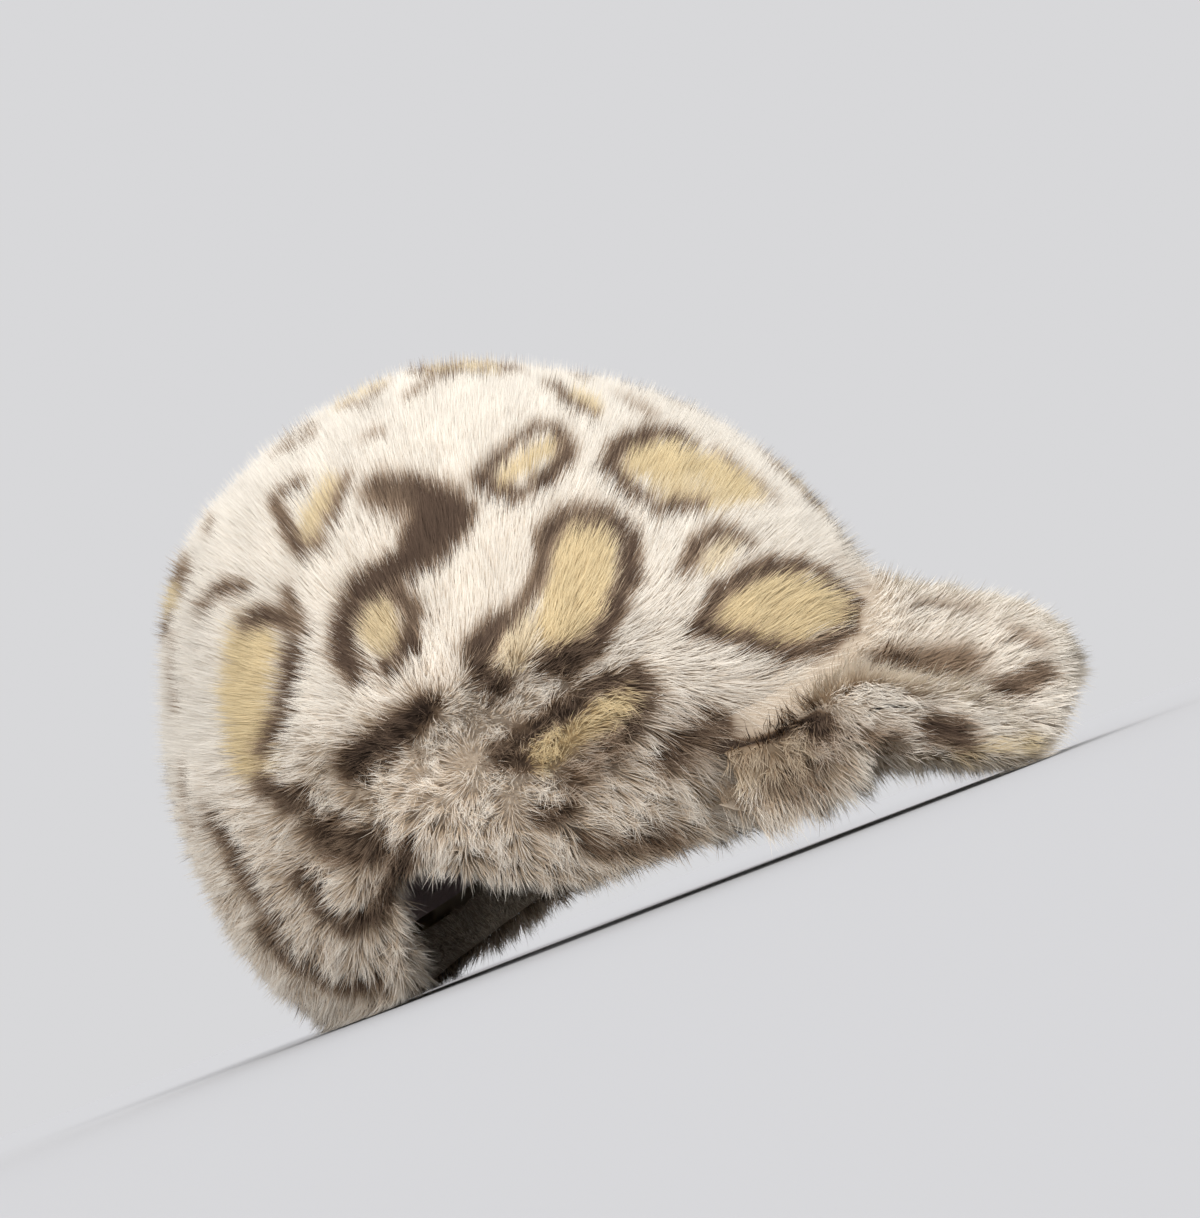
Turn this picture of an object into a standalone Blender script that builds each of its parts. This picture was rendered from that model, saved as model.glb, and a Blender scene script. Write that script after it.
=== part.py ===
"""A faux fur baseball cap, as it rests on a table: five sewn pieces at their real size, in metres.

+X points out of the peak, +Y to the wearer's left and +Z up. The origin is under the middle of the
cap's box, on the table. The crown is measured from its middle, a point inside the head space:
"turn" goes round it in degrees from the front towards the wearer's left, and "rise" goes up from
level. Tables hold shares of the named sizes, one row for each section, fold or station.
"""

import math

import bmesh
import bpy
import numpy as np
from mathutils import Matrix

# Crown: reaches from its middle to the outside of the fur.
CROWN_FRONT = 0.1105
CROWN_BACK = 0.1058
CROWN_SIDE = 0.0935
CROWN_TOP = 0.1150
CROWN_DROP = 0.0990
MIDDLE_HEIGHT = 0.0620

# Cloth and fur.
BACKING = 0.0020
PILE = 0.0095
LOCK_RELIEF = 0.0016
LOCK_HANG = 0.0022
FOLD_HEIGHT = 0.0042
FOLD_FADE = 0.85
CLEARANCE = 0.0006

# Rim: how far it stands off the table under the peak, and behind the temples on each side.
RIM_FRONT_ARCH = 0.0370
RIM_RIGHT_ARCH = 0.0330
RIM_LEFT_ARCH = 0.0180
RIM_ROUND = 0.0060

# Hem and lining inside the rim. The hem starts a little above the rim's underside.
HEM_LIFT = 0.0027
HEM_HEIGHT = 0.0122
HEM_PILE = 0.0058
LINING_GAP = 0.0012
LINING_CLOTH = 0.0010

# Peak: how far its edge stands out from the crown and spreads sideways, and its height at the front.
PEAK_LENGTH = 0.0582
PEAK_SPREAD = 0.0237
PEAK_EDGE_HEIGHT = 0.0255
PEAK_HALF_THICKNESS = 0.0125
PEAK_TEMPLE_TURN = 54.0
PEAK_SEAM_LIP = 0.0012

# Colours, with the roughness that all the cloth has.
CREAM_FUR = (0.78, 0.70, 0.60)
TAN_FUR = (0.62, 0.53, 0.42)
LINING_PINK = (0.50, 0.44, 0.44)
CLOTH_ROUGHNESS = 0.9

# Counts of facets.
CROWN_COLUMNS = 72
CROWN_ROWS = 28
HEM_ROWS = 3
LINING_ROWS = 6
PEAK_COLUMNS = 28

# How the crown's outline departs from plain half ellipses, by rise.
CROWN_SWELL = [
    # rise, front, side, back
    (-60, 0.96, 0.94, 0.99),
    (-35, 0.98, 0.97, 1.005),
    (-20, 1.00, 0.99, 1.00),
    (0, 1.02, 1.00, 1.00),
    (20, 1.00, 1.015, 1.01),
    (35, 0.98, 1.03, 1.03),
    (48, 0.965, 1.03, 1.05),
    (62, 0.955, 1.01, 1.02),
    (76, 0.98, 0.995, 1.00),
    (90, 1.00, 1.00, 1.00),
]

# Height of the rim off the table, by turn to either side, as shares of the arches.
RIM_STATIONS = [
    # turn, share of the front arch, of the right arch, of the left arch
    (0, 1.00, 0.00, 0.00),
    (12, 0.88, 0.00, 0.00),
    (24, 0.58, 0.00, 0.02),
    (36, 0.35, 0.00, 0.14),
    (48, 0.24, 0.10, 0.36),
    (60, 0.16, 0.22, 0.60),
    (72, 0.07, 0.34, 0.80),
    (84, 0.00, 0.50, 0.90),
    (96, 0.00, 0.76, 0.86),
    (106, 0.00, 1.00, 0.72),
    (113, 0.00, 0.92, 0.60),
    (119, 0.00, 0.48, 0.50),
    (125, 0.00, 0.16, 0.40),
    (134, 0.00, 0.03, 0.27),
    (150, 0.00, 0.00, 0.06),
    (162, 0.00, 0.00, 0.00),
    (180, 0.00, 0.00, 0.00),
]

# Soft folds and dents of the crown. Height is a share of FOLD_HEIGHT, below zero for a dent.
CROWN_FOLDS = [
    # turn, rise, half length and half width in degrees, slant, height
    (-124, -9, 22, 5.5, 38, -1.25),
    (-138, -20, 20, 9, 25, 0.55),
    (-84, 8, 26, 5, 2, 0.75),
    (-84, -2, 24, 5, 4, -0.70),
    (-96, -16, 16, 5, -30, 0.70),
    (-150, 22, 16, 7, -20, -0.45),
    (-60, 34, 22, 8, 25, 0.40),
    (-38, 26, 18, 7, 10, -0.45),
    (38, 26, 18, 7, -10, -0.45),
    (118, -10, 18, 6, -25, -0.80),
    (92, 6, 24, 6, 4, 0.55),
    (148, 14, 18, 7, 18, -0.50),
    (64, 30, 20, 8, -22, 0.45),
    (178, -4, 16, 7, 0, -0.55),
]

# Outer edge of the peak, from the middle of the front round the corner to the temple. Length is a
# share of PEAK_LENGTH forwards from the crown, spread of PEAK_SPREAD sideways from it.
PEAK_EDGE = [
    # share of the way round, length, spread, share of the height at the front
    (0.00, 1.00, 0.00, 1.00),
    (0.18, 1.00, 0.46, 0.92),
    (0.32, 1.04, 0.75, 0.56),
    (0.42, 1.035, 0.95, 0.265),
    (0.52, 0.93, 1.00, 0.42),
    (0.62, 0.745, 0.86, 0.72),
    (0.72, 0.54, 0.63, 1.12),
    (0.82, 0.455, 0.60, 0.90),
    (0.91, 0.34, 0.535, 0.82),
    (1.00, 0.21, 0.40, 0.84),
]

# Rows across the peak, from the crown to the edge: a crease, then the thick roll at the edge.
PEAK_ROWS = [
    # share of the way, fullness on top, fullness below
    (0.00, 0.00, 0.00),
    (0.08, 0.02, 0.10),
    (0.17, 0.06, 0.22),
    (0.27, 0.15, 0.35),
    (0.37, 0.28, 0.48),
    (0.48, 0.46, 0.62),
    (0.59, 0.64, 0.76),
    (0.70, 0.80, 0.88),
    (0.80, 0.90, 0.97),
    (0.88, 0.90, 0.98),
    (0.94, 0.74, 0.82),
    (0.98, 0.48, 0.54),
    (1.00, 0.10, 0.10),
]

# Underside of the rim, from the outside of the fur to the inside of the cloth.
RIM_SECTION = [
    # share of the wall, lift as a share of RIM_ROUND
    (0.10, 0.34),
    (0.38, 0.00),
    (0.80, 0.00),
]
RIM_INNER_LIFT = 0.30

# Section of the hem: the flat cloth side, then the fur side from its top to its foot.
HEM_SECTION = [
    # share of the pile, share of the height
    (0.00, 0.00),
    (0.00, 0.50),
    (0.00, 1.00),
    (0.55, 0.98),
    (0.95, 0.72),
    (1.00, 0.40),
    (0.75, 0.12),
]

# Locks: how far a crest, the hollow beside it and the row between rows stand, in LOCK_RELIEF.
LOCK_CREST = 1.0
LOCK_SIDE = 0.1
LOCK_ROOT = -0.8
LOCK_HEM = 0.35
PEAK_CREST = 0.6
PEAK_FULLNESS = 0.74


def table_value(rows, key, column):
    """Value of one column of a table at key, on a smooth curve through its rows."""
    xs = np.array([row[0] for row in rows], float)
    ys = np.array([row[column] for row in rows], float)
    slopes = np.gradient(ys, xs)
    slopes[0] = slopes[-1] = 0.0
    key = np.clip(np.asarray(key, float), xs[0], xs[-1])
    i = np.clip(np.searchsorted(xs, key, side="right") - 1, 0, len(xs) - 2)
    span = xs[i + 1] - xs[i]
    u = (key - xs[i]) / span
    return (
        ys[i] * (1 + 2 * u) * (1 - u) ** 2
        + ys[i + 1] * u * u * (3 - 2 * u)
        + slopes[i] * span * u * (1 - u) ** 2
        - slopes[i + 1] * span * u * u * (1 - u)
    )


def level_reach(turn):
    """Plan outline of the crown: two half ellipses that share the crown's width."""
    along, across = np.cos(np.radians(turn)), np.sin(np.radians(turn))
    length = np.where(along > 0, CROWN_FRONT, CROWN_BACK)
    return 1.0 / np.sqrt((along / length) ** 2 + (across / CROWN_SIDE) ** 2)


def fold_height(turn, rise):
    """How far the folds push the cloth out, at a place on the crown."""
    total = np.zeros(np.broadcast(turn, rise).shape)
    for at_turn, at_rise, length, width, slant, height in CROWN_FOLDS:
        across = (turn - at_turn + 180) % 360 - 180
        up = rise - at_rise
        c, s = math.cos(math.radians(slant)), math.sin(math.radians(slant))
        run = (across * c + up * s) / length
        side = (up * c - across * s) / width
        total = total + height * FOLD_HEIGHT * np.exp(-(run**2 + side**2))
    return total


def crown_reach(turn, rise, folds=1.0):
    """Distance from the crown's middle to its fur's surface, with a share of the folds."""
    up, out = np.sin(np.radians(rise)), np.cos(np.radians(rise))
    height = np.where(up > 0, CROWN_TOP, CROWN_DROP)
    plain = 1.0 / np.sqrt((out / level_reach(turn)) ** 2 + (up / height) ** 2)
    along = np.cos(np.radians(turn))
    front, side, back = (table_value(CROWN_SWELL, rise, k) for k in (1, 2, 3))
    swell = side + along**2 * (np.where(along > 0, front, back) - side)
    return plain * swell + folds * fold_height(turn, rise) * out


def crown_point(turn, rise, inward=0.0):
    """Points on the crown's surface, or square to it and inside, where the folds are softer."""
    inward = np.asarray(inward, float)
    folds = 1 - FOLD_FADE * np.clip(inward / (BACKING + PILE), 0, 1)

    def place(a, e):
        reach = crown_reach(a, e, folds)
        level = reach * np.cos(np.radians(e))
        return np.stack(
            [
                level * np.cos(np.radians(a)),
                level * np.sin(np.radians(a)),
                MIDDLE_HEIGHT + reach * np.sin(np.radians(e)),
            ],
            axis=-1,
        )

    turn, rise = np.broadcast_arrays(np.asarray(turn, float), np.asarray(rise, float))
    step = 0.5
    low = np.minimum(rise, 90 - 2 * step)
    around = place(turn + step, low) - place(turn - step, low)
    upward = place(turn, low + step) - place(turn, low - step)
    normal = np.cross(around, upward)
    normal /= np.linalg.norm(normal, axis=-1, keepdims=True)
    at_pole = rise[..., None] > 90 - step
    normal = np.where(at_pole, np.array([0.0, 0.0, 1.0]), normal)
    return place(turn, rise) - normal * inward[..., None], normal


def rim_height(turn):
    """Height of the rim's underside off the table."""
    side = np.abs((np.asarray(turn, float) + 180) % 360 - 180)
    right = table_value(RIM_STATIONS, side, 2) * RIM_RIGHT_ARCH
    left = table_value(RIM_STATIONS, side, 3) * RIM_LEFT_ARCH
    front = table_value(RIM_STATIONS, side, 1) * RIM_FRONT_ARCH
    return np.maximum(front + np.where(np.sin(np.radians(turn)) < 0, right, left), 0.0)


def rise_at_height(turn, height, inward):
    """The rise at which a layer of the crown is at a given height, found by halving."""
    low = np.full(np.shape(turn), -70.0)
    high = np.full(np.shape(turn), 60.0)
    for _ in range(30):
        middle = (low + high) / 2
        above = crown_point(turn, middle, np.full(np.shape(turn), inward))[0][..., 2] > height
        high = np.where(above, middle, high)
        low = np.where(above, low, middle)
    return (low + high) / 2


def lofted(name, rings, first, last, colour):
    """One closed object from rings of points, each bridged to the next.

    first and last say how the ends close: a point is the tip of a fan, "strip" joins the two halves
    of the end ring, and "join" bridges the last ring to the first.
    """
    bm = bmesh.new()
    loops = [[bm.verts.new(p) for p in ring] for ring in rings]
    pairs = list(zip(loops[:-1], loops[1:]))
    if last == "join":
        pairs.append((loops[-1], loops[0]))
    for upper, lower in pairs:
        for i in range(len(upper)):
            j = (i + 1) % len(upper)
            bm.faces.new((upper[i], lower[i], lower[j], upper[j]))
    for end, loop in ((first, loops[0]), (last, loops[-1])):
        if end == "strip":
            for i in range(len(loop) // 2 - 1):
                bm.faces.new((loop[i], loop[i + 1], loop[-i - 2], loop[-i - 1]))
        elif end != "join":
            tip = bm.verts.new(end)
            for i in range(len(loop)):
                bm.faces.new((tip, loop[i], loop[(i + 1) % len(loop)]))
    bmesh.ops.recalc_face_normals(bm, faces=bm.faces)
    bmesh.ops.triangulate(bm, faces=bm.faces)
    mesh = bpy.data.meshes.new(name)
    bm.to_mesh(mesh)
    bm.free()
    mesh.shade_smooth()
    item = bpy.data.objects.new(name, mesh)
    bpy.context.scene.collection.objects.link(item)
    mesh.materials.append(cloth_material(name + "_cloth", colour))
    return item


def cloth_material(name, colour):
    material = bpy.data.materials.new(name)
    material.use_nodes = True
    shader = material.node_tree.nodes["Principled BSDF"]
    shader.inputs["Base Color"].default_value = (*colour, 1.0)
    shader.inputs["Roughness"].default_value = CLOTH_ROUGHNESS
    shader.inputs["Metallic"].default_value = 0.0
    return material


def column_turns():
    """The turns of the columns that the crown, the hem and the lining share."""
    return np.arange(CROWN_COLUMNS) * 360.0 / CROWN_COLUMNS - 180


def root_half_height(turn):
    """Half the height of the peak's root, which the slope makes taller at the front."""
    at_temple, more_in_front = 0.86, 0.34
    front = np.cos(np.radians(90 * turn / PEAK_TEMPLE_TURN))
    return PEAK_HALF_THICKNESS * (at_temple + more_in_front * front)


def root_height(turn):
    """Height of the middle of the peak's root, which is sewn on just above the rim's fold."""
    return rim_height(turn) + RIM_ROUND + root_half_height(turn)


def peak_seat(turn, rise):
    """1 where the peak lies against the crown, fading to 0 a little outside its root."""
    fade_end, fade_width = 1.35, 0.22
    side = np.abs(turn) / PEAK_TEMPLE_TURN
    beside = np.clip((fade_end - side) / fade_width, 0, 1)
    held = np.clip(turn, -PEAK_TEMPLE_TURN, PEAK_TEMPLE_TURN)
    above = crown_point(turn, rise)[0][..., 2] - root_height(held) - root_half_height(held)
    return beside * np.clip(2 - above / RIM_ROUND, 0, 1)


def crown():
    """Backing cloth with its pile: locks that lie like tiles outside, smooth cloth inside."""
    turn = column_turns()
    wall = BACKING + PILE
    rim = rim_height(turn)
    outer_end = rise_at_height(turn, rim + RIM_ROUND, 0.0)
    uneven = np.random.default_rng(7)
    rings = []
    for row in range(1, CROWN_ROWS + 1):
        share = row / CROWN_ROWS
        rise = 90 - (90 - outer_end) * share
        points, normal = crown_point(turn, rise)
        down = crown_point(turn, rise - 1)[0] - points
        down /= np.linalg.norm(down, axis=1, keepdims=True)
        crest = (np.arange(CROWN_COLUMNS) + row // 2) % 2 == 0
        lift = np.where(crest, LOCK_CREST, LOCK_SIDE) if row % 2 == 0 else LOCK_ROOT
        lift = lift * uneven.uniform(0.75, 1.25, CROWN_COLUMNS)
        calm = (1 - peak_seat(turn, rise)) * min(1.0, 4 * share, 0.4 + 2 * (CROWN_ROWS - row))
        hang = LOCK_HANG * calm * (crest & (row % 2 == 0))
        rings.append(points + normal * (LOCK_RELIEF * lift * calm)[:, None] + down * hang[:, None])
    rings += rim_rings(turn, rim, wall)
    inner_end = rise_at_height(turn, rim + RIM_INNER_LIFT * RIM_ROUND, wall)
    hem_top = rise_at_height(turn, lining_edge(turn), wall)
    for row in range(HEM_ROWS):
        rise = inner_end + (hem_top - inner_end) * row / HEM_ROWS
        rings.append(crown_point(turn, rise, np.full(turn.shape, wall))[0])
    for rise in reversed(lining_rises(turn)):
        rings.append(crown_point(turn, rise, np.full(turn.shape, wall))[0])
    top = (0.0, 0.0, MIDDLE_HEIGHT + CROWN_TOP)
    inside_top = (0.0, 0.0, MIDDLE_HEIGHT + CROWN_TOP - wall)
    return lofted("crown", rings, top, inside_top, CREAM_FUR)


def rim_rings(turn, rim, wall):
    """The underside of the rim: rings round the fold, level where the cap rests."""
    rings = []
    for wall_share, lift_share in RIM_SECTION:
        depth = wall_share * wall
        rise = rise_at_height(turn, rim + RIM_ROUND, depth)
        points, _ = crown_point(turn, rise, np.full(turn.shape, depth))
        points[:, 2] = rim + lift_share * RIM_ROUND
        rings.append(points)
    return rings


def lining_edge(turn):
    """Height of the lining's lower edge, just above the hem."""
    return rim_height(turn) + HEM_LIFT + HEM_HEIGHT + 2 * LINING_GAP


def lining_rises(turn):
    """Rows of the lining and of the wall behind it, from near the top down to the edge."""
    end = rise_at_height(turn, lining_edge(turn), BACKING + PILE)
    return [90 - (90 - end) * row / LINING_ROWS for row in range(1, LINING_ROWS + 1)]


def lining():
    """Plain cloth inside the crown, down to the top of the hem."""
    turn = column_turns()
    face = BACKING + PILE + CLEARANCE
    sheets = []
    for depth in (face, face + LINING_CLOTH):
        layer = np.full(turn.shape, depth)
        sheets.append([crown_point(turn, rise, layer)[0] for rise in lining_rises(turn)])
    height = MIDDLE_HEIGHT + CROWN_TOP - face
    rings = sheets[0] + sheets[1][::-1]
    return lofted("lining", rings, (0.0, 0.0, height), (0.0, 0.0, height - LINING_CLOTH), LINING_PINK)


def rim_hem():
    """The strip of fur that is turned in along the rim: a closed band round the head opening."""
    turn = column_turns()
    rings = []
    for number, (pile_share, height_share) in enumerate(HEM_SECTION):
        depth = BACKING + PILE + CLEARANCE + pile_share * HEM_PILE
        height = rim_height(turn) + HEM_LIFT + height_share * HEM_HEIGHT
        odd = (np.arange(CROWN_COLUMNS) + number) % 2 == 1
        depths = depth + LOCK_HEM * LOCK_RELIEF * (odd & (pile_share > 0))
        rings.append(crown_point(turn, rise_at_height(turn, height, depth), depths)[0])
    return lofted("rim_hem", rings, "join", "join", TAN_FUR)


def peak_cover(name, side, colour):
    """One furred cover of the peak: side is 1 for the upper cover and -1 for the one under it."""
    way_round = np.linspace(-1, 1, PEAK_COLUMNS)
    turn = way_round * PEAK_TEMPLE_TURN
    length, spread, height = (table_value(PEAK_EDGE, np.abs(way_round), k) for k in (1, 2, 3))

    def seated(at_height, off):
        """A row of points at a given height, off the crown's surface by a gap."""
        rise = rise_at_height(turn, at_height, -off)
        return crown_point(turn, rise, np.full(turn.shape, -off))[0]

    edge = seated(PEAK_EDGE_HEIGHT * height, 0.0)
    edge[:, 0] += PEAK_LENGTH * length
    edge[:, 1] += PEAK_SPREAD * spread * np.sign(way_round)
    middle_root = seated(root_height(turn), CLEARANCE)
    outer_root = seated(root_height(turn) + side * root_half_height(turn), CLEARANCE)
    uneven = np.random.default_rng(11 if side > 0 else 12)
    rings = []
    for number, (way, on_top, below) in enumerate(PEAK_ROWS):
        seam_row = middle_root + (edge - middle_root) * way
        seam_row[:, 2] += side * CLEARANCE / 2
        lift = PEAK_FULLNESS * PEAK_HALF_THICKNESS * (on_top if side > 0 else below)
        crest = (np.arange(PEAK_COLUMNS) + number) % 2 == 0
        lock = LOCK_RELIEF * np.where(crest, PEAK_CREST, -PEAK_CREST) * math.sqrt(math.sin(math.pi * way))
        fur_row = outer_root + (edge - outer_root) * way
        fur_row[:, 2] += side * (lift + lock * uneven.uniform(0.7, 1.3, PEAK_COLUMNS))
        lip = seam_row[:, 2] + side * PEAK_SEAM_LIP
        fur_row[:, 2] = side * np.maximum(side * fur_row[:, 2], side * lip)
        fur_row[:, 2] = np.maximum(fur_row[:, 2], 0.0)
        rings.append(np.concatenate([fur_row, seam_row[::-1]]))
    return lofted(name, rings, "strip", "strip", colour)


def set_down(items):
    """Moves the whole cap so that the origin is under the middle of its box, on the table."""
    points = np.array([v.co[:] for item in items for v in item.data.vertices])
    low, high = points.min(axis=0), points.max(axis=0)
    shift = Matrix.Translation((-(low[0] + high[0]) / 2, -(low[1] + high[1]) / 2, -low[2]))
    for item in items:
        item.data.transform(shift)


def main():
    for old in list(bpy.data.objects):
        bpy.data.objects.remove(old)
    items = [
        crown(),
        peak_cover("peak_top", 1, CREAM_FUR),
        peak_cover("peak_under", -1, TAN_FUR),
        rim_hem(),
        lining(),
    ]
    set_down(items)


main()
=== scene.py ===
import math

import bpy
import numpy as np
from mathutils import Matrix, Vector
from mathutils.bvhtree import BVHTree


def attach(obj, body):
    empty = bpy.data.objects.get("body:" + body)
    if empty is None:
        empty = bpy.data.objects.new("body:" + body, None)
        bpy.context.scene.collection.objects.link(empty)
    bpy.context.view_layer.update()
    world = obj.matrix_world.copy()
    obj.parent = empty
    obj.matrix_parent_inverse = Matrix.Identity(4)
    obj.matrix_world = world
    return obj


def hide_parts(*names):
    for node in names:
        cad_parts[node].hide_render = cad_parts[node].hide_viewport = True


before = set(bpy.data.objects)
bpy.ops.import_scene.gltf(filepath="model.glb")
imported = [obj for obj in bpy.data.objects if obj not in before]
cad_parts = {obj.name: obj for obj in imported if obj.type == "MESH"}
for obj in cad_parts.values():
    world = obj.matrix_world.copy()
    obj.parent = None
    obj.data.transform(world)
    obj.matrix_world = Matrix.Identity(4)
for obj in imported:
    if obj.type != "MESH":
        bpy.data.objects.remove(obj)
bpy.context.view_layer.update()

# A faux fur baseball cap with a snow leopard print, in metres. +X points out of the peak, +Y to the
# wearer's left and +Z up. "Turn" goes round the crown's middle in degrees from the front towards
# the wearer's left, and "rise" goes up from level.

# Camera: at the level of the table on the wearer's right, turned a little towards the peak, and
# rolled so that the cap leans back in the picture.
PICTURE_WIDTH = 1200
PICTURE_HEIGHT = 1218
CAMERA_TURN = math.radians(7)
CAMERA_ROLL = math.radians(21)
CAMERA_AWAY = 0.700
CAMERA_HEIGHT = 0.006
CAMERA_AIM = Vector((0.008, 0.0, 0.0895))
FOCAL_PIXELS = 2310
SENSOR = 36.0

aim_drop = CAMERA_HEIGHT - CAMERA_AIM.z
aim_level = math.sqrt(CAMERA_AWAY**2 - aim_drop**2)
eye = CAMERA_AIM + Vector(
    (math.sin(CAMERA_TURN) * aim_level, -math.cos(CAMERA_TURN) * aim_level, aim_drop)
)
forward = (CAMERA_AIM - eye).normalized()
level_right = forward.cross(Vector((0, 0, 1))).normalized()
level_up = level_right.cross(forward)
picture_right = level_right * math.cos(CAMERA_ROLL) - level_up * math.sin(CAMERA_ROLL)
picture_up = level_right * math.sin(CAMERA_ROLL) + level_up * math.cos(CAMERA_ROLL)
camera_data = bpy.data.cameras.new("camera")
camera_data.sensor_fit = "VERTICAL"
camera_data.sensor_height = SENSOR
camera_data.lens = FOCAL_PIXELS / PICTURE_HEIGHT * SENSOR
camera_data.clip_start = 0.01
camera = bpy.data.objects.new("camera", camera_data)
turned = Matrix((picture_right, picture_up, -forward)).transposed().to_4x4()
camera.matrix_world = Matrix.Translation(eye) @ turned
bpy.context.scene.collection.objects.link(camera)
bpy.context.scene.camera = camera

# Crown: the furred outer shell of the cap, pile fabric sewn into a dome and turned under at the rim.
# Its fur is hairs that grow from the backing cloth, in four pieces round the dome and one at the rim.
MIDDLE = np.array([-0.02734, 0.0, 0.0620])
CROWN_FRONT = 0.1105
CROWN_BACK = 0.1058
CROWN_SIDE = 0.0935
CROWN_TOP = 0.1150
CROWN_DROP = 0.0990
WALL = 0.0115
FOLD_HEIGHT = 0.0042
FOLD_FADE = 0.85
RIM_FRONT_ARCH = 0.0370
RIM_RIGHT_ARCH = 0.0330
RIM_LEFT_ARCH = 0.0180
RIM_ROUND = 0.0060
CROWN_SWELL = [
    # rise, front, side, back
    (-60, 0.96, 0.94, 0.99),
    (-35, 0.98, 0.97, 1.005),
    (-20, 1.00, 0.99, 1.00),
    (0, 1.02, 1.00, 1.00),
    (20, 1.00, 1.015, 1.01),
    (35, 0.98, 1.03, 1.03),
    (48, 0.965, 1.03, 1.05),
    (62, 0.955, 1.01, 1.02),
    (76, 0.98, 0.995, 1.00),
    (90, 1.00, 1.00, 1.00),
]
RIM_STATIONS = [
    # turn, share of the front arch, of the right arch, of the left arch
    (0, 1.00, 0.00, 0.00),
    (12, 0.88, 0.00, 0.00),
    (24, 0.58, 0.00, 0.02),
    (36, 0.35, 0.00, 0.14),
    (48, 0.24, 0.10, 0.36),
    (60, 0.16, 0.22, 0.60),
    (72, 0.07, 0.34, 0.80),
    (84, 0.00, 0.50, 0.90),
    (96, 0.00, 0.76, 0.86),
    (106, 0.00, 1.00, 0.72),
    (113, 0.00, 0.92, 0.60),
    (119, 0.00, 0.48, 0.50),
    (125, 0.00, 0.16, 0.40),
    (134, 0.00, 0.03, 0.27),
    (150, 0.00, 0.00, 0.06),
    (162, 0.00, 0.00, 0.00),
    (180, 0.00, 0.00, 0.00),
]
CROWN_FOLDS = [
    # turn, rise, half length and half width in degrees, slant, height
    (-124, -9, 22, 5.5, 38, -1.25),
    (-138, -20, 20, 9, 25, 0.55),
    (-84, 8, 26, 5, 2, 0.75),
    (-84, -2, 24, 5, 4, -0.70),
    (-96, -16, 16, 5, -30, 0.70),
    (-150, 22, 16, 7, -20, -0.45),
    (-60, 34, 22, 8, 25, 0.40),
    (-38, 26, 18, 7, 10, -0.45),
    (38, 26, 18, 7, -10, -0.45),
    (118, -10, 18, 6, -25, -0.80),
    (92, 6, 24, 6, 4, 0.55),
    (148, 14, 18, 7, 18, -0.50),
    (64, 30, 20, 8, -22, 0.45),
    (178, -4, 16, 7, 0, -0.55),
]
RIM_SECTION = [
    # share of the wall from outside to inside, lift as a share of RIM_ROUND
    (0.00, 1.00),
    (0.10, 0.34),
    (0.38, 0.00),
    (0.80, 0.00),
    (1.00, 0.30),
]
CROWN_COLUMNS = 180
CROWN_ROWS = 70
TOP_ROW_SHARE = 0.012
RIM_ROWS = 14
LOWEST_RISE = -70.0
HIGHEST_RISE = 60.0
HALVINGS = 24
TINY = 1e-12


def table_value(rows, key, column):
    """Value of one column of a table at key, on a smooth curve through its rows."""
    xs = np.array([row[0] for row in rows], float)
    ys = np.array([row[column] for row in rows], float)
    slopes = np.gradient(ys, xs)
    slopes[0] = slopes[-1] = 0.0
    key = np.clip(np.asarray(key, float), xs[0], xs[-1])
    i = np.clip(np.searchsorted(xs, key, side="right") - 1, 0, len(xs) - 2)
    span = xs[i + 1] - xs[i]
    u = (key - xs[i]) / span
    return (
        ys[i] * (1 + 2 * u) * (1 - u) ** 2
        + ys[i + 1] * u * u * (3 - 2 * u)
        + slopes[i] * span * u * (1 - u) ** 2
        - slopes[i + 1] * span * u * u * (1 - u)
    )


def crown_reach(turn, rise, folds):
    """Half ellipses in plan and height, times the swell by rise, plus a bell curve for each fold."""
    along, across = np.cos(np.radians(turn)), np.sin(np.radians(turn))
    length = np.where(along > 0, CROWN_FRONT, CROWN_BACK)
    level = 1.0 / np.sqrt((along / length) ** 2 + (across / CROWN_SIDE) ** 2)
    up, out = np.sin(np.radians(rise)), np.cos(np.radians(rise))
    height = np.where(up > 0, CROWN_TOP, CROWN_DROP)
    plain = 1.0 / np.sqrt((out / level) ** 2 + (up / height) ** 2)
    front, side, back = (table_value(CROWN_SWELL, rise, k) for k in (1, 2, 3))
    swell = side + along**2 * (np.where(along > 0, front, back) - side)
    bumps = np.zeros(plain.shape)
    for at_turn, at_rise, run_size, side_size, slant, share in CROWN_FOLDS:
        east = (turn - at_turn + 180) % 360 - 180
        north = rise - at_rise
        c, s = math.cos(math.radians(slant)), math.sin(math.radians(slant))
        run = (east * c + north * s) / run_size
        beside = (north * c - east * s) / side_size
        bumps = bumps + share * FOLD_HEIGHT * np.exp(-(run**2 + beside**2))
    return plain * swell + folds * bumps * out


def crown_point(turn, rise, inward=0.0):
    """Points on the crown's surface, or square to it and inside, where the folds are softer."""
    inward = np.asarray(inward, float)
    folds = 1 - FOLD_FADE * np.clip(inward / WALL, 0, 1)

    def place(a, e):
        reach = crown_reach(a, e, folds)
        level = reach * np.cos(np.radians(e))
        x, y = level * np.cos(np.radians(a)), level * np.sin(np.radians(a))
        return MIDDLE + np.stack([x, y, reach * np.sin(np.radians(e))], axis=-1)

    turn, rise = np.broadcast_arrays(np.asarray(turn, float), np.asarray(rise, float))
    step = 0.5
    low = np.minimum(rise, 90 - 2 * step)
    around = place(turn + step, low) - place(turn - step, low)
    upward = place(turn, low + step) - place(turn, low - step)
    normal = np.cross(around, upward)
    normal /= np.linalg.norm(normal, axis=-1, keepdims=True)
    return place(turn, rise) - normal * inward[..., None], normal


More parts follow.
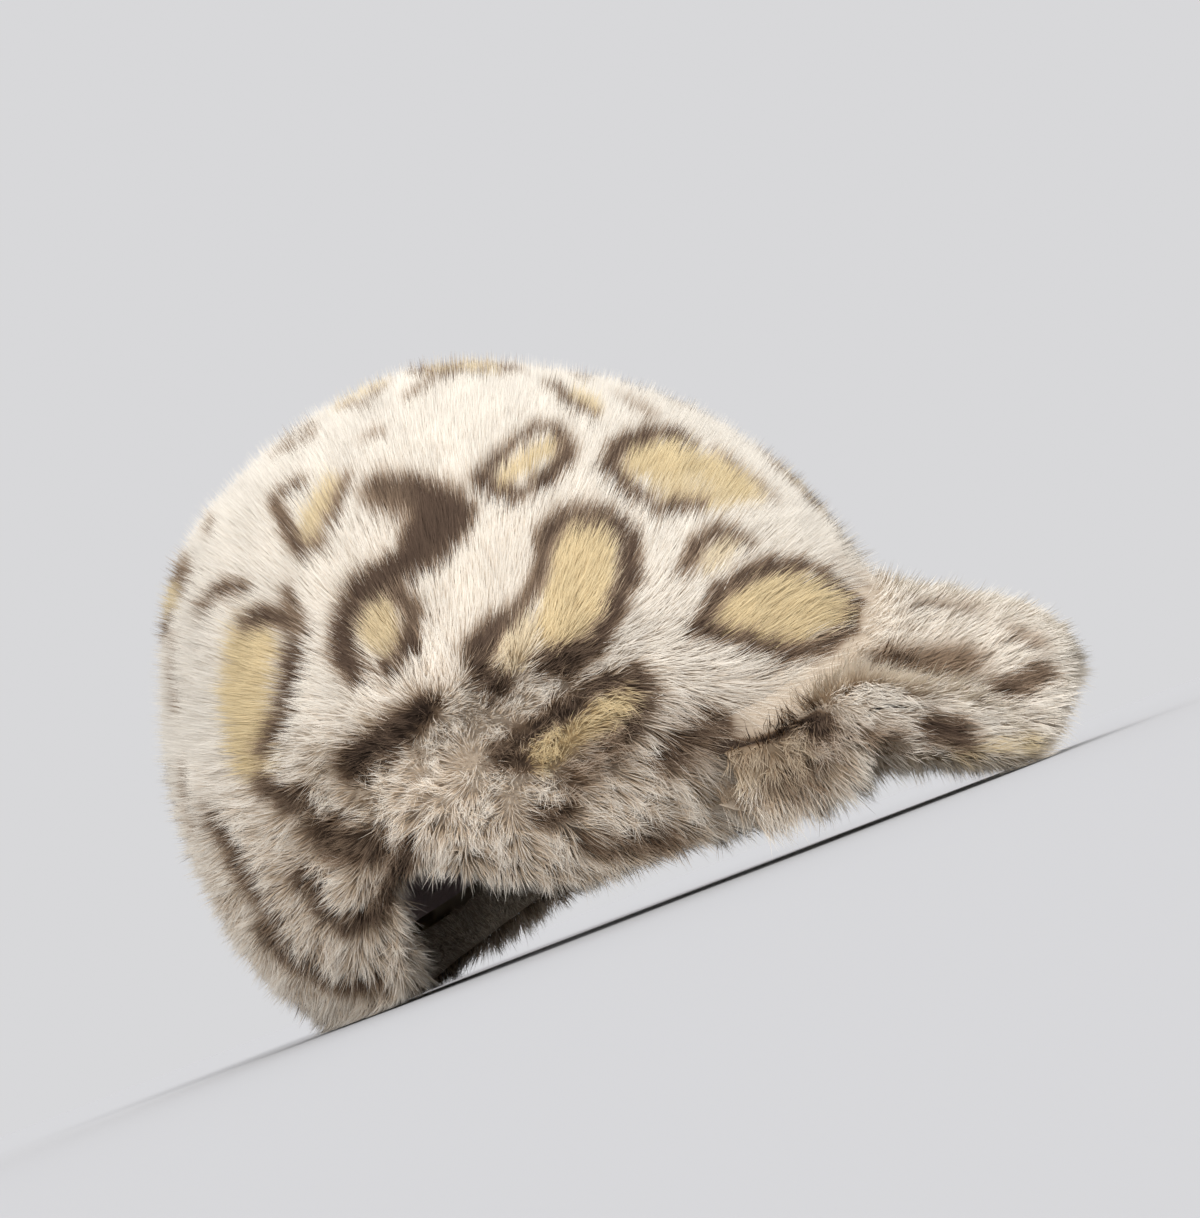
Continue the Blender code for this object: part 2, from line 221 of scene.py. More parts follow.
def rim_height(turn):
    """Height of the rim's underside off the table."""
    side = np.abs((np.asarray(turn, float) + 180) % 360 - 180)
    right = table_value(RIM_STATIONS, side, 2) * RIM_RIGHT_ARCH
    left = table_value(RIM_STATIONS, side, 3) * RIM_LEFT_ARCH
    front = table_value(RIM_STATIONS, side, 1) * RIM_FRONT_ARCH
    return np.maximum(front + np.where(np.sin(np.radians(turn)) < 0, right, left), 0.0)


def rise_at_height(turn, height, inward):
    """The rise at which a layer of the crown is at a given height, found by halving."""
    low = np.full(np.shape(turn), LOWEST_RISE)
    high = np.full(np.shape(turn), HIGHEST_RISE)
    for _ in range(HALVINGS):
        middle = (low + high) / 2
        above = crown_point(turn, middle, np.full(np.shape(turn), inward))[0][..., 2] > height
        high = np.where(above, middle, high)
        low = np.where(above, low, middle)
    return (low + high) / 2


def unit(vectors):
    """The vectors at length 1, along the last axis."""
    return vectors / np.maximum(np.linalg.norm(vectors, axis=-1, keepdims=True), TINY)


def grid_normals(points, closed):
    """Normals of a grid from the steps along its rows and columns; closed joins its last column."""
    if closed:
        across = np.roll(points, -1, axis=1) - np.roll(points, 1, axis=1)
    else:
        across = np.gradient(points, axis=1)
    return unit(np.cross(np.gradient(points, axis=0), across))


# Crown surface: rows from the top down to the rim's fold, then under it to the inside of the wall.
crown_turns = np.arange(CROWN_COLUMNS) * 360.0 / CROWN_COLUMNS - 180
rim_heights = rim_height(crown_turns)
outer_end = rise_at_height(crown_turns, rim_heights + RIM_ROUND, 0.0)
shares = np.linspace(TOP_ROW_SHARE, 1, CROWN_ROWS)[:, None]
crown_rises = 90 - (90 - outer_end[None, :]) * shares
dome_points, dome_normals = crown_point(np.tile(crown_turns, (CROWN_ROWS, 1)), crown_rises)
rim_rows = []
for wall_share in np.linspace(0, 1, RIM_ROWS):
    depth = wall_share * WALL
    rise = rise_at_height(crown_turns, rim_heights + RIM_ROUND, depth)
    row_points, _ = crown_point(crown_turns, rise, np.full(crown_turns.shape, depth))
    row_points[:, 2] = rim_heights + RIM_ROUND * table_value(RIM_SECTION, wall_share, 1)
    rim_rows.append(row_points)
rim_points = np.array(rim_rows)
rim_normals = grid_normals(rim_points, True)
rim_outward = np.sign((rim_normals[0] * dome_normals[-1]).sum(axis=-1).mean())
rim_normals = rim_normals * rim_outward
rim_normals[0] = dome_normals[-1]

# Peak surfaces: the upper and under cover, from the root on the crown to the thick roll at the edge.
CLEARANCE = 0.0006
PEAK_LENGTH = 0.0582
PEAK_SPREAD = 0.0237
PEAK_EDGE_HEIGHT = 0.0255
PEAK_HALF_THICKNESS = 0.0125
PEAK_TEMPLE_TURN = 54.0
PEAK_SEAM_LIP = 0.0012
PEAK_FULLNESS = 0.74
PEAK_EDGE = [
    # share of the way round, length, spread, share of the height at the front
    (0.00, 1.00, 0.00, 1.00),
    (0.18, 1.00, 0.46, 0.92),
    (0.32, 1.04, 0.75, 0.56),
    (0.42, 1.035, 0.95, 0.265),
    (0.52, 0.93, 1.00, 0.42),
    (0.62, 0.745, 0.86, 0.72),
    (0.72, 0.54, 0.63, 1.12),
    (0.82, 0.455, 0.60, 0.90),
    (0.91, 0.34, 0.535, 0.82),
    (1.00, 0.21, 0.40, 0.84),
]
PEAK_ROWS = [
    # share of the way, fullness on top, fullness below
    (0.00, 0.00, 0.00),
    (0.08, 0.02, 0.10),
    (0.17, 0.06, 0.22),
    (0.27, 0.15, 0.35),
    (0.37, 0.28, 0.48),
    (0.48, 0.46, 0.62),
    (0.59, 0.64, 0.76),
    (0.70, 0.80, 0.88),
    (0.80, 0.90, 0.97),
    (0.88, 0.90, 0.98),
    (0.94, 0.74, 0.82),
    (0.98, 0.48, 0.54),
    (1.00, 0.10, 0.10),
]
PEAK_COLUMNS = 110
PEAK_SURFACE_ROWS = 40
ROOT_AT_TEMPLE = 0.86
ROOT_MORE_IN_FRONT = 0.34


def peak_surface(side):
    """Root row to edge row in straight steps, lifted by the fullness table towards one side."""
    way_round = np.linspace(-1, 1, PEAK_COLUMNS)
    turn = way_round * PEAK_TEMPLE_TURN
    length, spread, height = (table_value(PEAK_EDGE, np.abs(way_round), k) for k in (1, 2, 3))
    half = PEAK_HALF_THICKNESS * (ROOT_AT_TEMPLE + ROOT_MORE_IN_FRONT * np.cos(np.pi / 2 * way_round))
    root = rim_height(turn) + RIM_ROUND + half

    def seated(at_height, off):
        rise = rise_at_height(turn, at_height, -off)
        return crown_point(turn, rise, np.full(turn.shape, -off))[0]

    edge = seated(PEAK_EDGE_HEIGHT * height, 0.0)
    edge[:, 0] += PEAK_LENGTH * length
    edge[:, 1] += PEAK_SPREAD * spread * np.sign(way_round)
    middle_root = seated(root, CLEARANCE)
    outer_root = seated(root + side * half, CLEARANCE)
    rows = []
    for way in np.linspace(0, 1, PEAK_SURFACE_ROWS):
        seam_row = middle_root + (edge - middle_root) * way
        fur_row = outer_root + (edge - outer_root) * way
        full = table_value(PEAK_ROWS, way, 1 if side > 0 else 2)
        fur_row[:, 2] += side * PEAK_FULLNESS * PEAK_HALF_THICKNESS * full
        lip = seam_row[:, 2] + side * PEAK_SEAM_LIP
        fur_row[:, 2] = side * np.maximum(side * fur_row[:, 2], side * lip)
        fur_row[:, 2] = np.maximum(fur_row[:, 2], 0.0)
        rows.append(fur_row)
    points = np.array(rows)
    normals = grid_normals(points, False)
    return points, normals * side * np.sign((normals[..., 2]).mean())


peak_top_points, peak_top_normals = peak_surface(1)
peak_under_points, peak_under_normals = peak_surface(-1)


def grid_faces(rows, columns, closed):
    """Corner numbers of a grid's quads, row by row; closed joins the last column to the first."""
    quads_across = columns if closed else columns - 1
    row, column = np.meshgrid(np.arange(rows - 1), np.arange(quads_across), indexing="ij")
    beside = (column + 1) % columns
    here, below = row * columns, (row + 1) * columns
    return np.stack([here + column, below + column, below + beside, here + beside], axis=-1)


def surface_tree():
    """All the outer surfaces of the cap in one search tree."""
    corners, faces = [], []
    for points, closed in (
        (dome_points, True),
        (rim_points, True),
        (peak_top_points, False),
        (peak_under_points, False),
    ):
        start = sum(len(c) for c in corners)
        corners.append(points.reshape(-1, 3))
        quads = grid_faces(points.shape[0], points.shape[1], closed).reshape(-1, 4)
        faces.extend((quads + start).tolist())
    return BVHTree.FromPolygons(np.concatenate(corners).tolist(), faces)


tree = surface_tree()

# Print: a snow leopard pattern, dark strokes round tan centres on cream. The side that faces the camera is
# charted one row for each stroke, and the rest is rosettes on the same scale.
# Two of its dark strokes, along the seam where the peak meets the crown, are painted shade of the crease.
PRINT_CHART = [
    # kind, half width in mm, strength, then the stroke's places across and down the picture
    ("tan", 4.4, 0.8, (346, 404), (372, 390)),
    ("dark", 1.5, 0.6, (345, 410), (366, 408), (388, 388)),
    ("dark", 1.6, 0.8, (410, 400), (430, 386), (455, 374)),
    ("dark", 1.5, 0.6, (366, 440), (384, 434)),
    ("dark", 1.8, 0.7, (280, 456), (298, 446), (316, 436)),
    ("dark", 1.8, 0.9, (302, 484), (276, 500), (286, 524), (302, 552)),
    ("tan", 3.6, 0.9, (328, 490), (310, 530)),
    ("dark", 1.6, 0.8, (348, 478), (336, 510), (314, 552)),
    ("soft", 6.0, 0.8, (384, 492), (430, 506)),
    ("dark", 3.2, 0.9, (378, 488), (410, 486), (452, 498)),
    ("dark", 6.8, 1.0, (446, 518), (428, 540)),
    ("dark", 4.4, 1.0, (414, 556), (382, 576), (358, 590)),
    ("dark", 3.2, 1.0, (358, 590), (342, 620), (340, 650), (352, 670)),
    ("dark", 2.4, 0.9, (396, 590), (414, 612), (406, 646), (384, 668)),
    ("tan", 4.6, 0.9, (374, 612), (378, 634)),
    ("dark", 2.0, 0.9, (200, 612), (214, 596), (232, 590), (246, 588)),
    ("dark", 2.2, 0.8, (288, 596), (300, 628)),
    ("tan", 8.2, 1.0, (250, 646), (244, 700), (250, 744)),
    ("dark", 2.4, 1.0, (246, 624), (266, 616), (292, 620)),
    ("dark", 2.4, 0.9, (292, 640), (290, 672), (280, 704), (262, 752)),
    ("dark", 2.0, 0.7, (177, 642), (174, 676), (178, 708)),
    ("dark", 2.0, 0.6, (188, 560), (192, 576)),
    ("dark", 1.8, 0.6, (206, 518), (212, 532)),
    ("dark", 1.8, 0.9, (549, 386), (566, 402), (590, 418)),
    ("tan", 2.6, 0.9, (578, 396), (592, 408)),
    ("soft", 2.0, 0.6, (622, 398), (648, 416)),
    ("dark", 1.9, 1.0, (477, 477), (500, 457), (530, 432), (556, 430), (570, 455)),
    ("dark", 1.9, 1.0, (570, 455), (546, 480), (506, 500), (477, 477)),
    ("tan", 2.4, 1.0, (502, 480), (524, 466), (550, 448)),
    ("tan", 6.2, 1.0, (640, 460), (684, 462), (730, 482)),
    ("tan", 3.6, 0.9, (664, 486), (712, 500), (750, 492)),
    ("dark", 2.2, 1.0, (607, 464), (620, 446), (652, 433), (686, 440)),
    ("dark", 2.1, 1.0, (609, 466), (630, 494), (660, 509), (697, 506)),
    ("dark", 1.5, 0.6, (712, 452), (750, 478), (772, 500)),
    ("dark", 1.9, 0.9, (685, 570), (694, 548), (720, 531), (746, 542)),
    ("tan", 2.6, 0.7, (706, 560), (728, 546)),
    ("tan", 6.6, 1.0, (736, 614), (776, 598), (826, 606)),
    ("tan", 4.0, 1.0, (760, 626), (800, 634)),
    ("dark", 1.9, 1.0, (696, 630), (718, 592), (750, 571), (795, 565)),
    ("dark", 1.8, 1.0, (795, 565), (830, 580), (857, 597), (848, 626)),
    ("dark", 2.0, 1.0, (848, 626), (820, 649), (788, 654), (750, 640), (696, 630)),
    ("tan", 7.4, 1.0, (584, 548), (582, 586), (570, 622)),
    ("dark", 2.5, 1.0, (545, 536), (564, 516), (600, 513), (628, 534), (632, 572)),
    ("dark", 2.3, 1.0, (632, 572), (612, 614), (596, 648), (570, 672)),
    ("dark", 2.0, 0.9, (545, 536), (540, 570), (524, 602), (500, 620)),
    ("dark", 3.2, 1.0, (500, 622), (480, 642), (482, 672), (500, 688)),
    ("tan", 4.4, 0.7, (520, 630), (514, 650)),
    ("dark", 3.4, 0.9, (552, 662), (584, 652)),
    ("tan", 4.2, 1.0, (636, 694), (590, 722), (540, 756)),
    ("dark", 2.1, 1.0, (495, 760), (520, 734), (570, 704), (606, 680), (640, 675)),
    ("dark", 2.2, 1.0, (640, 675), (652, 696), (640, 722), (614, 746)),
    ("dark", 2.8, 0.9, (500, 750), (524, 764)),
    ("soft", 5.0, 0.55, (612, 750), (580, 778)),
    ("dark", 2.6, 0.8, (546, 820), (572, 812)),
    ("dark", 2.4, 0.8, (590, 846), (634, 850)),
    ("dark", 3.8, 1.0, (344, 768), (378, 742), (424, 708)),
    ("dark", 3.2, 0.9, (262, 786), (294, 804)),
    ("soft", 6.0, 0.85, (322, 838), (372, 850)),
    ("dark", 2.8, 1.0, (300, 880), (324, 914), (348, 926), (372, 920), (392, 888), (408, 850)),
    ("dark", 2.2, 0.9, (208, 810), (226, 850), (254, 894)),
    ("dark", 2.4, 0.9, (222, 830), (246, 868), (262, 905), (276, 935)),
    ("dark", 2.6, 1.0, (262, 932), (300, 968), (338, 987), (380, 987)),
    ("dark", 2.0, 0.6, (185, 770), (195, 830)),
    ("soft", 8.5, 0.36, (694, 742), (760, 752), (826, 744)),
    # The next two dark strokes run along the seam where the peak meets the crown: painted shade of the
    # crease, not print.
    ("dark", 3.6, 0.80, (694, 732), (716, 722)),
    ("dark", 2.6, 1.0, (716, 738), (760, 730), (806, 712)),
    ("dark", 4.2, 0.95, (818, 726), (840, 746)),
    ("dark", 3.0, 0.85, (668, 768), (682, 746)),
    ("tan", 6.0, 0.5, (738, 762), (788, 756)),
    ("soft", 3.4, 0.70, (776, 796), (834, 774)),
    ("soft", 2.6, 0.9, (604, 848), (680, 842)),
    ("soft", 3.0, 0.3, (838, 560), (857, 577)),
    ("soft", 3.4, 0.38, (930, 602), (966, 610)),
    ("soft", 7.5, 0.56, (900, 660), (958, 664)),
    ("soft", 3.8, 0.42, (1018, 634), (1034, 644)),
    ("dark", 3.2, 0.80, (1000, 690), (1026, 684), (1044, 672)),
    ("dark", 3.2, 0.85, (936, 726), (964, 736), (990, 732)),
    ("tan", 2.6, 0.9, (964, 750), (1034, 744)),
    ("soft", 3.0, 0.7, (872, 738), (900, 742)),
]
MILLIMETRE = 1e-3
PRINT_PULL = 0.08
PRINT_TRIES = 9
PRINT_FEATHER = 0.0034
PRINT_SPREAD = {"dark": 1.22, "soft": 1.05, "tan": 1.26}
PRINT_SOFTNESS = {"dark": 1.0, "soft": 1.8, "tan": 0.8}


def print_place(across, down):
    """Where the line of sight through a place in the picture meets the cap, or None beside it.

    A place that just misses is moved towards the middle of the picture, a hundredth at a time.
    """
    centre_x, centre_y = PICTURE_WIDTH / 2, PICTURE_HEIGHT / 2
    for pull in np.linspace(0, PRINT_PULL, PRINT_TRIES):
        x = (across - centre_x) * (1 - pull) / FOCAL_PIXELS
        y = (centre_y - down) * (1 - pull) / FOCAL_PIXELS
        hit = tree.ray_cast(eye, (forward + picture_right * x + picture_up * y).normalized())
        if hit[0] is not None:
            return np.array(hit[0])
    return None


print_marks = []
for kind, half_width, strength, *places in PRINT_CHART:
    line = [print_place(*place) for place in places]
    line = np.array([place for place in line if place is not None])
    if len(line) > 1:
        print_marks.append((kind, half_width * MILLIMETRE, strength, line))


ROSETTE_NARROW = (0.48, 0.85)
ROSETTE_UNEVEN = 0.14
ROSETTE_ARCS = (2, 5)
ARC_SHARE = (0.5, 0.85)
ARC_PLACES = 5
ARC_HALF_WIDTH = (0.0020, 0.0031)
ARC_STRENGTH = (0.75, 0.95)
TAN_REACH = 0.35
TAN_HALF_WIDTH = 0.45
TAN_STRENGTH = (0.7, 1.0)


def rosette(centre, normal, size, draw):
    """Marks of one rosette: an uneven ring in two to four arcs, round a tan middle."""
    aside = unit(np.cross(normal, draw.normal(size=3)))
    ahead = np.cross(normal, aside)
    narrow = draw.uniform(*ROSETTE_NARROW)
    waves = draw.uniform(-ROSETTE_UNEVEN, ROSETTE_UNEVEN, 2)
    start = draw.uniform(0, 2 * np.pi)

    def at(angles, out):
        out = out * (1 + waves[0] * np.cos(2 * angles) + waves[1] * np.sin(3 * angles))
        spread = (np.cos(angles) * out)[:, None] * aside + (np.sin(angles) * out * narrow)[:, None] * ahead
        return np.array([np.array(tree.find_nearest(Vector(centre + size * s))[0]) for s in spread])

    middle = at(np.array([0.0, np.pi]), TAN_REACH)
    marks = [("tan", size * TAN_HALF_WIDTH, draw.uniform(*TAN_STRENGTH), middle)]
    arcs = draw.integers(*ROSETTE_ARCS)
    for arc in range(arcs):
        begin = start + 2 * np.pi * arc / arcs
        reach = 2 * np.pi / arcs * draw.uniform(*ARC_SHARE)
        half_width = draw.uniform(*ARC_HALF_WIDTH)
        strength = draw.uniform(*ARC_STRENGTH)
        marks.append(("dark", half_width, strength, at(begin + np.linspace(0, reach, ARC_PLACES), 1.0)))
    return marks


PEAK_CHARTED = -0.30
CROWN_CHARTED = 0.16
GOLDEN_TURN = 137.508
HEIGHT_SPAN = 1.75
PLACE_STRAY = 0.003
ROSETTES = 46
ROSETTE_SIZE = (0.012, 0.019)
SPOTS = 90
SPOT_GAP = 0.021
SPOT_HALF_LENGTH = (0.001, 0.006)
SPOT_HALF_WIDTH = (0.0016, 0.0028)
SPOT_STRENGTH = 0.8
PEAK_ROSETTE_SIZE = (0.009, 0.013)
PEAK_ROSETTE_STEP = 26
PEAK_ROSETTE_ROWS = [
    # row of the peak's surface, first column
    (14, 20),
    (31, 26),
]
draw = np.random.default_rng(21)


def spread_over_crown(number, count, draw):
    """Places spread evenly over the crown: equal steps in height and golden steps in turn."""
    rise = math.degrees(math.asin(1 - HEIGHT_SPAN * (number + 0.5) / count))
    turn = number * GOLDEN_TURN % 360 - 180
    centre, normal = crown_point(np.array(turn), np.array(rise))
    centre = centre + draw.normal(0, PLACE_STRAY, 3)
    low = centre[2] < rim_height(turn) + RIM_ROUND
    charted = normal @ np.array(eye - Vector(centre)) / CAMERA_AWAY > CROWN_CHARTED
    return centre, normal, not (low or charted)


rosette_places = []
for number in range(ROSETTES):
    centre, normal, free = spread_over_crown(number, ROSETTES, draw)
    if free:
        rosette_places.append(centre)
        print_marks += rosette(centre, normal, draw.uniform(*ROSETTE_SIZE), draw)
for number in range(SPOTS):
    centre, normal, free = spread_over_crown(number, SPOTS, draw)
    crowded = min(np.linalg.norm(centre - other) for other in rosette_places) < SPOT_GAP
    if free and not crowded:
        aside = unit(np.cross(normal, draw.normal(size=3))) * draw.uniform(*SPOT_HALF_LENGTH)
        half_width = draw.uniform(*SPOT_HALF_WIDTH)
        line = np.array([centre - aside, centre + aside])
        print_marks.append(("dark", half_width, SPOT_STRENGTH, line))
for points, normals in ((peak_top_points, peak_top_normals), (peak_under_points, peak_under_normals)):
    for row, first_column in PEAK_ROSETTE_ROWS:
        for column in range(first_column, PEAK_COLUMNS, PEAK_ROSETTE_STEP):
            centre, normal = points[row, column], normals[row, column]
            if normal @ np.array(eye - Vector(centre)) / CAMERA_AWAY < PEAK_CHARTED:
                print_marks += rosette(centre, normal, draw.uniform(*PEAK_ROSETTE_SIZE), draw)


WAVES = 14
WAVE_SPREAD = (0.8, 1.25)
WAVE_SCALE = 1.4


def wave_field(seed, wavelength):
    """Wave vectors and phases of a smooth random field that looks the same in every direction."""
    draw = np.random.default_rng(seed)
    waves = unit(draw.normal(size=(WAVES, 3))) * 2 * np.pi / wavelength
    return waves * draw.uniform(*WAVE_SPREAD, (WAVES, 1)), draw.uniform(0, 2 * np.pi, WAVES)


def wave_height(points, field):
    """The field's height: its waves' sines added up, about -1 to 1."""
    waves, phases = field
    return np.sin(points @ waves.T + phases).sum(axis=-1) / math.sqrt(2 * len(phases)) / WAVE_SCALE


def wave_pull(points, field):
    """Unit-sized pull towards the field's nearby peaks, which gathers hairs into tufts."""
    waves, phases = field
    size = np.linalg.norm(waves, axis=1).mean()
    return np.cos(points @ waves.T + phases) @ waves / size / math.sqrt(len(phases) / 2)


PRINT_UNEVEN = 0.0011
PRINT_FULL = 1.08
PRINT_FADE = 0.22
print_edge = wave_field(5, 0.0075)
print_fade = wave_field(6, 0.021)


def print_at(points):
    """Dark and tan amounts of the print: distance to each stroke's line, softened and made uneven."""
    dark = np.zeros(len(points))
    tan = np.zeros(len(points))
    uneven = wave_height(points, print_edge) * PRINT_UNEVEN
    for kind, half_width, strength, line in print_marks:
        feather = PRINT_FEATHER * PRINT_SOFTNESS[kind]
        reach = half_width + 2 * feather
        low, high = line.min(axis=0) - reach, line.max(axis=0) + reach
        near = np.nonzero(((points > low) & (points < high)).all(axis=1))[0]
        if len(near) == 0:
            continue
        here = points[near]
        best = np.full(len(near), np.inf)
        for begin, end in zip(line[:-1], line[1:]):
            run = end - begin
            along = np.clip((here - begin) @ run / max(run @ run, TINY), 0, 1)
            best = np.minimum(best, np.linalg.norm(here - begin - along[:, None] * run, axis=1))
        wide = half_width * PRINT_SPREAD[kind]
        amount = strength * np.clip((wide + uneven[near] - best) / feather + 0.5, 0, 1)
        target = tan if kind == "tan" else dark
        target[near] = np.maximum(target[near], amount)
    dark = np.clip(dark * (PRINT_FULL + PRINT_FADE * wave_height(points, print_fade)), 0, 1)
    return dark, tan


# Fur shades: from the root to the tip of a hair, for the cream, the tan and the dark parts.
CREAM_ROOT = (0.66, 0.51, 0.36)
CREAM_TIP = (0.96, 0.89, 0.78)
TAN_ROOT = (0.50, 0.35, 0.17)
TAN_TIP = (0.82, 0.66, 0.39)
BROWN_ROOT = (0.20, 0.125, 0.075)
BROWN_TIP = (0.42, 0.30, 0.20)
DARK_ROOT = (0.045, 0.028, 0.019)
DARK_TIP = (0.120, 0.078, 0.054)
BROWN_SHARE = 0.55
DARK_FROM = 0.8
TIP_FROM = 0.70
DEEPEST = -0.9
FUR_VARIES = (0.74, 1.10)
FUR_ROUGHNESS = 0.72
FUR_SHINE = 0.12
HAIR_SHADE = 1.0
# The backing is made darker than the hairs: painted shade of the deep pile.
BACKING_PAINTED_SHADE = 0.72


def fur_material(name, shade):
    """Root and tip colours of each part of the print, mixed by the hair's own stored values, times shade,
    which darkens the backing as painted shade.
    """
    material = bpy.data.materials.new(name)
    material.use_nodes = True
    nodes, links = material.node_tree.nodes, material.node_tree.links
    shader = nodes["Principled BSDF"]
    stored = nodes.new("ShaderNodeAttribute")
    stored.attribute_name = "fur"
    parts = nodes.new("ShaderNodeSeparateColor")
    links.new(stored.outputs["Color"], parts.inputs["Color"])

    def mixed(factor, first, second):
        mix = nodes.new("ShaderNodeMix")
        mix.data_type = "RGBA"
        sockets = (mix.inputs["Factor"], mix.inputs[6], mix.inputs[7])
        for socket, value in zip(sockets, (factor, first, second)):
            if isinstance(value, bpy.types.NodeSocket):
                links.new(value, socket)
            else:
                socket.default_value = (*value, 1.0) if isinstance(value, tuple) else value
        return mix.outputs[2]

    def ranged(value, low, high, to_low=0.0, to_high=1.0):
        step = nodes.new("ShaderNodeMapRange")
        links.new(value, step.inputs["Value"])
        ends = {"From Min": low, "From Max": high, "To Min": to_low, "To Max": to_high}
        for end, number in ends.items():
            step.inputs[end].default_value = number
        return step.outputs["Result"]

    along = ranged(parts.outputs["Blue"], 0.0, TIP_FROM)
    deep = ranged(parts.outputs["Blue"], DEEPEST, 0.0)
    cream = mixed(along, mixed(deep, BROWN_ROOT, CREAM_ROOT), CREAM_TIP)
    tan = mixed(along, TAN_ROOT, TAN_TIP)
    brown = mixed(along, BROWN_ROOT, BROWN_TIP)
    dark = mixed(along, DARK_ROOT, DARK_TIP)
    ground = mixed(parts.outputs["Green"], cream, tan)
    edge = mixed(ranged(parts.outputs["Red"], 0.0, BROWN_SHARE), ground, brown)
    print_colour = mixed(ranged(parts.outputs["Red"], DARK_FROM * BROWN_SHARE, 1.0), edge, dark)
    # The stored tone scales the colour, and carries the painted shade between tufts.
    least, most = (limit * shade for limit in FUR_VARIES)
    varied = nodes.new("ShaderNodeVectorMath")
    varied.operation = "SCALE"
    links.new(print_colour, varied.inputs[0])
    links.new(ranged(stored.outputs["Alpha"], 0.0, 1.0, least, most), varied.inputs["Scale"])
    links.new(varied.outputs["Vector"], shader.inputs["Base Color"])
    shader.inputs["Roughness"].default_value = FUR_ROUGHNESS
    shader.inputs["Specular IOR Level"].default_value = FUR_SHINE
    return material


hair_material = fur_material("fur_hair", HAIR_SHADE)
backing_material = fur_material("fur_backing", BACKING_PAINTED_SHADE)

# Size and form of the hairs: each has a steeper lower part and a leaning upper part.
HAIR_LENGTH = 0.0102
LENGTH_SPREAD = (0.72, 1.12)
HAIR_WIDTH = 0.00020
HALF_WIDTH_SPREAD = (0.38, 0.62)
STRAIGHT_WIDER = 1.5
HAIR_DENSITY = 5.6e6
PROUD = 0.0018
ROOT_DEPTH = 0.94
LOWER_SHARE = 0.52
UPPER_SHARE = 0.48
LOWER_LEAN = 0.55
UPPER_STAND = 0.72
GUARD_SHARE = 0.14
GUARD_LONGER = 1.22
GUARD_RISE = 0.45
TWIST = 0.9
ASIDE_NUDGE = 1e-6
STRAY = 0.115
STRAY_SLEEK = 0.75
STRAY_SHAGGY = 0.35
LOWER_STRAY = 0.5
UPPER_STRAY = 1.3
SMALL_PULL = 0.21
LARGE_PULL = 0.17
LOWER_PULL = 0.55
UPPER_PULL = 1.6
BACKING_DEPTH = 0.0040
FLOOR_GAP = 0.0003
# Look of the hairs: where along them the print is read, how brown and frosted they are, how uneven, and
# their painted shade between tufts.
PRINT_ALONG = (0.35, 0.95)
PRINT_BLUR = 0.0007
LOOSE_ABOVE = 0.4
BROWN_SPREAD = (0.6, 1.4)
BROWN_TUFT_SHADE = 0.4
BROWN_UP = 0.8
FROST = 0.42
TONE_MIDDLE = 0.55
PATCH_PAINTED_SHADE = 0.25
TONE_HAIR = 0.16
TUFT_PAINTED_SHADE = 0.3
SHADE_FLAT = 0.3
SHADE_OUTWARD = 0.8
SHADE_ALONG = 0.3
BACKING_VALUES = (0.2, 0.5)
small_tufts = wave_field(31, 0.0055)
large_tufts = wave_field(32, 0.0150)


def new_piece(name, points, corners, sizes, material, normals, values):
    """A mesh object from arrays: its points, each face's corners, normals and stored fur values."""
    mesh = bpy.data.meshes.new(name)
    mesh.vertices.add(len(points))
    mesh.vertices.foreach_set("co", points.astype(np.float32).ravel())
    mesh.loops.add(len(corners))
    mesh.loops.foreach_set("vertex_index", corners.astype(np.int32))
    starts = np.concatenate([[0], np.cumsum(sizes)[:-1]]).astype(np.int32)
    mesh.polygons.add(len(sizes))
    mesh.polygons.foreach_set("loop_start", starts)
    mesh.update(calc_edges=True)
    mesh.shade_smooth()
    if values is not None:
        stored = mesh.attributes.new("fur", "FLOAT_COLOR", "POINT")
        stored.data.foreach_set("color", values.astype(np.float32).ravel())
    if normals is not None:
        mesh.normals_split_custom_set_from_vertices(normals.tolist())
    mesh.materials.append(material)
    piece = bpy.data.objects.new(name, mesh)
    bpy.context.scene.collection.objects.link(piece)
    return piece


def roots_on(points, normals, closed, density, draw, chosen=None):
    """Hair roots spread evenly by area over a grid, with the surface's normal at each."""
    quads = grid_faces(points.shape[0], points.shape[1], closed)
    if chosen is not None:
        quads = quads[:, chosen]
    quads = quads.reshape(-1, 4)
    flat_points, flat_normals = points.reshape(-1, 3), normals.reshape(-1, 3)
    a, b, c, d = (flat_points[quads[:, k]] for k in range(4))
    areas = np.linalg.norm(np.cross(c - a, d - b), axis=1) / 2
    count = int(areas.sum() * density)
    targets = (np.arange(count) + draw.random(count)) / count * areas.sum()
    cell = np.clip(np.searchsorted(np.cumsum(areas), targets), 0, len(areas) - 1)
    u, v = draw.random((2, count, 1))
    weights = ((1 - u) * (1 - v), u * (1 - v), u * v, (1 - u) * v)
    places = sum(w * flat_points[quads[cell, k]] for k, w in enumerate(weights))
    outward = unit(sum(w * flat_normals[quads[cell, k]] for k, w in enumerate(weights)))
    return places, outward


def within_surface(vectors, outward):
    """The vectors less their part that is square to the surface."""
    return vectors - outward * (vectors * outward).sum(axis=1, keepdims=True)


